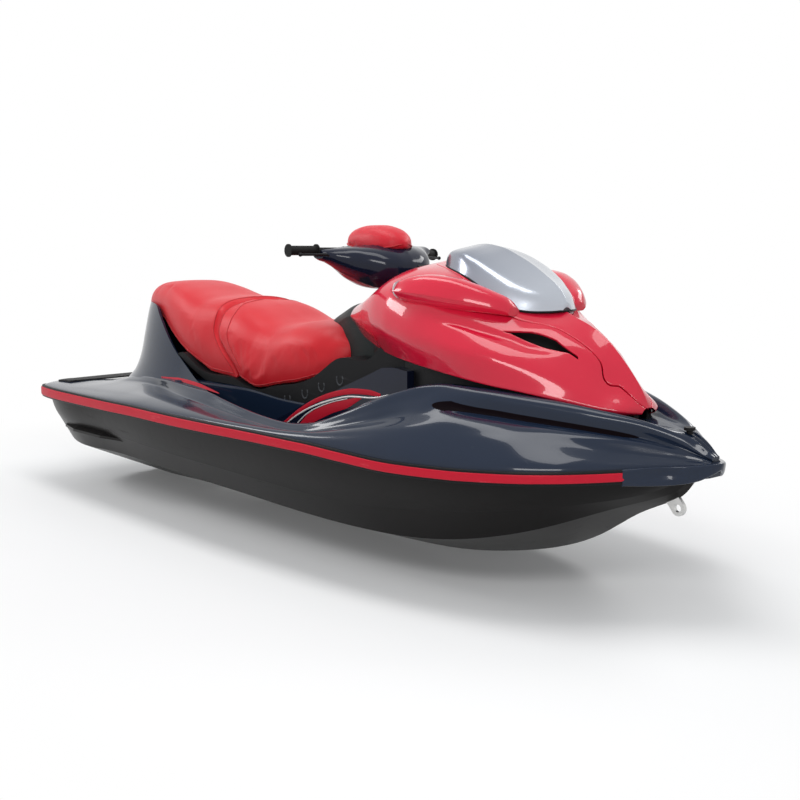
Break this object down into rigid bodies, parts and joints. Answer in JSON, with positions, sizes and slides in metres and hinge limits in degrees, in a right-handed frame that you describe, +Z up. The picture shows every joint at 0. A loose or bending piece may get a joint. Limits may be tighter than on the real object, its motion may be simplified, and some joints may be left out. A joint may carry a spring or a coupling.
{
  "type": "personal watercraft",
  "caption": "Sit-down personal watercraft with a V hull, jet pump, turning handlebar and steering nozzle, reverse bucket, opening front lid and a stepped two-person seat.",
  "frame": {"origin": "amidships on the centre line, in the plane of the waterline when the craft floats empty", "axes": "+X towards the bow, +Y to port, +Z up"},
  "size_m": [3.2901, 1.2, 1.162],
  "materials": {
    "hull_shell": "black moulded hull, semi gloss",
    "deck_gloss": "deep blue black gloss moulding",
    "engine": "cast engine mass, sealed inside",
    "alloy": "cast alloy, satin",
    "mat": "ribbed deck mat",
    "black_trim": "black moulded trim",
    "red_insert": "red rubbing strip",
    "navy_panel": "navy black gloss panel",
    "seat_vinyl": "red marine vinyl, fine grain",
    "red_paint": "red gloss hood",
    "steel": "stainless steel",
    "smoked_gloss": "dark grey gloss windshield",
    "mirror_glass": "mirror",
    "gauge_black": "dark gauge face",
    "pad_red": "red padded bar cover",
    "grip_rubber": "black grip rubber"
  },
  "bodies": {
    "craft": {"hull": "hull_shell", "deck": "deck_gloss", "engine_block": "engine", "intake_grate": "alloy", "ride_plate": "alloy", "footwell_mats": "mat", "rear_mat": "mat", "rub_rails": "black_trim", "rail_inserts": "red_insert", "bow_bumper": "black_trim", "tail_surround": "deck_gloss", "seat_base": "black_trim", "console": "black_trim", "knee_panels": "navy_panel", "seat_front": "seat_vinyl", "seat_rear": "seat_vinyl", "hood_plinth": "black_trim", "hood_fairing": "red_paint", "lid_hinge": "steel", "mirror_pods": "red_paint", "mirror_glasses": "mirror_glass", "air_vents": "black_trim", "gauge_panel": "gauge_black", "storage_bin": "black_trim", "pump_housing": "alloy", "pump_stator": "alloy", "pump_outlet": "alloy", "bow_eye": "steel", "stern_eyes": "steel", "drain_plugs": "black_trim", "sponsons": "black_trim", "bow_cleat": "black_trim"},
    "steering": {"steering_column": "black_trim", "handlebar": "black_trim", "bar_cover": "navy_panel", "bar_pad": "pad_red", "grips": "grip_rubber", "control_levers": "black_trim"},
    "lid": {"front_lid": "red_paint", "windshield": "smoked_gloss"},
    "rotor": {"impeller": "steel"},
    "nozzle": {"steering_nozzle": "alloy"},
    "bucket": {"reverse_bucket": "black_trim"}
  },
  "joints": [
    {"name": "steering", "type": "hinge", "parent": "craft", "child": "steering", "pos_m": [0.18975, 0, 0.63432], "axis": [-0.4226, 0, 0.9063], "range_deg": [-31, 19]},
    {"name": "lid", "type": "hinge", "parent": "craft", "child": "lid", "pos_m": [1.3563, 0, 0.36127], "axis": [0, 1, 0], "range_deg": [0, 50]},
    {"name": "rotor", "type": "hinge", "parent": "craft", "child": "rotor", "pos_m": [-1.07, 0, -0.095], "axis": [1, 0, 0], "continuous": true},
    {"name": "nozzle", "type": "hinge", "parent": "craft", "child": "nozzle", "pos_m": [-1.379, 0, -0.095], "axis": [0, 0, 1], "range_deg": [-15.2, 24.8]},
    {"name": "bucket", "type": "hinge", "parent": "craft", "child": "bucket", "pos_m": [-1.32, 0, -0.095], "axis": [0, -1, 0], "range_deg": [0, 80]}
  ],
  "couplings": [
    {"joint": "nozzle", "follows": "steering", "ratio": -0.8}
  ]
}
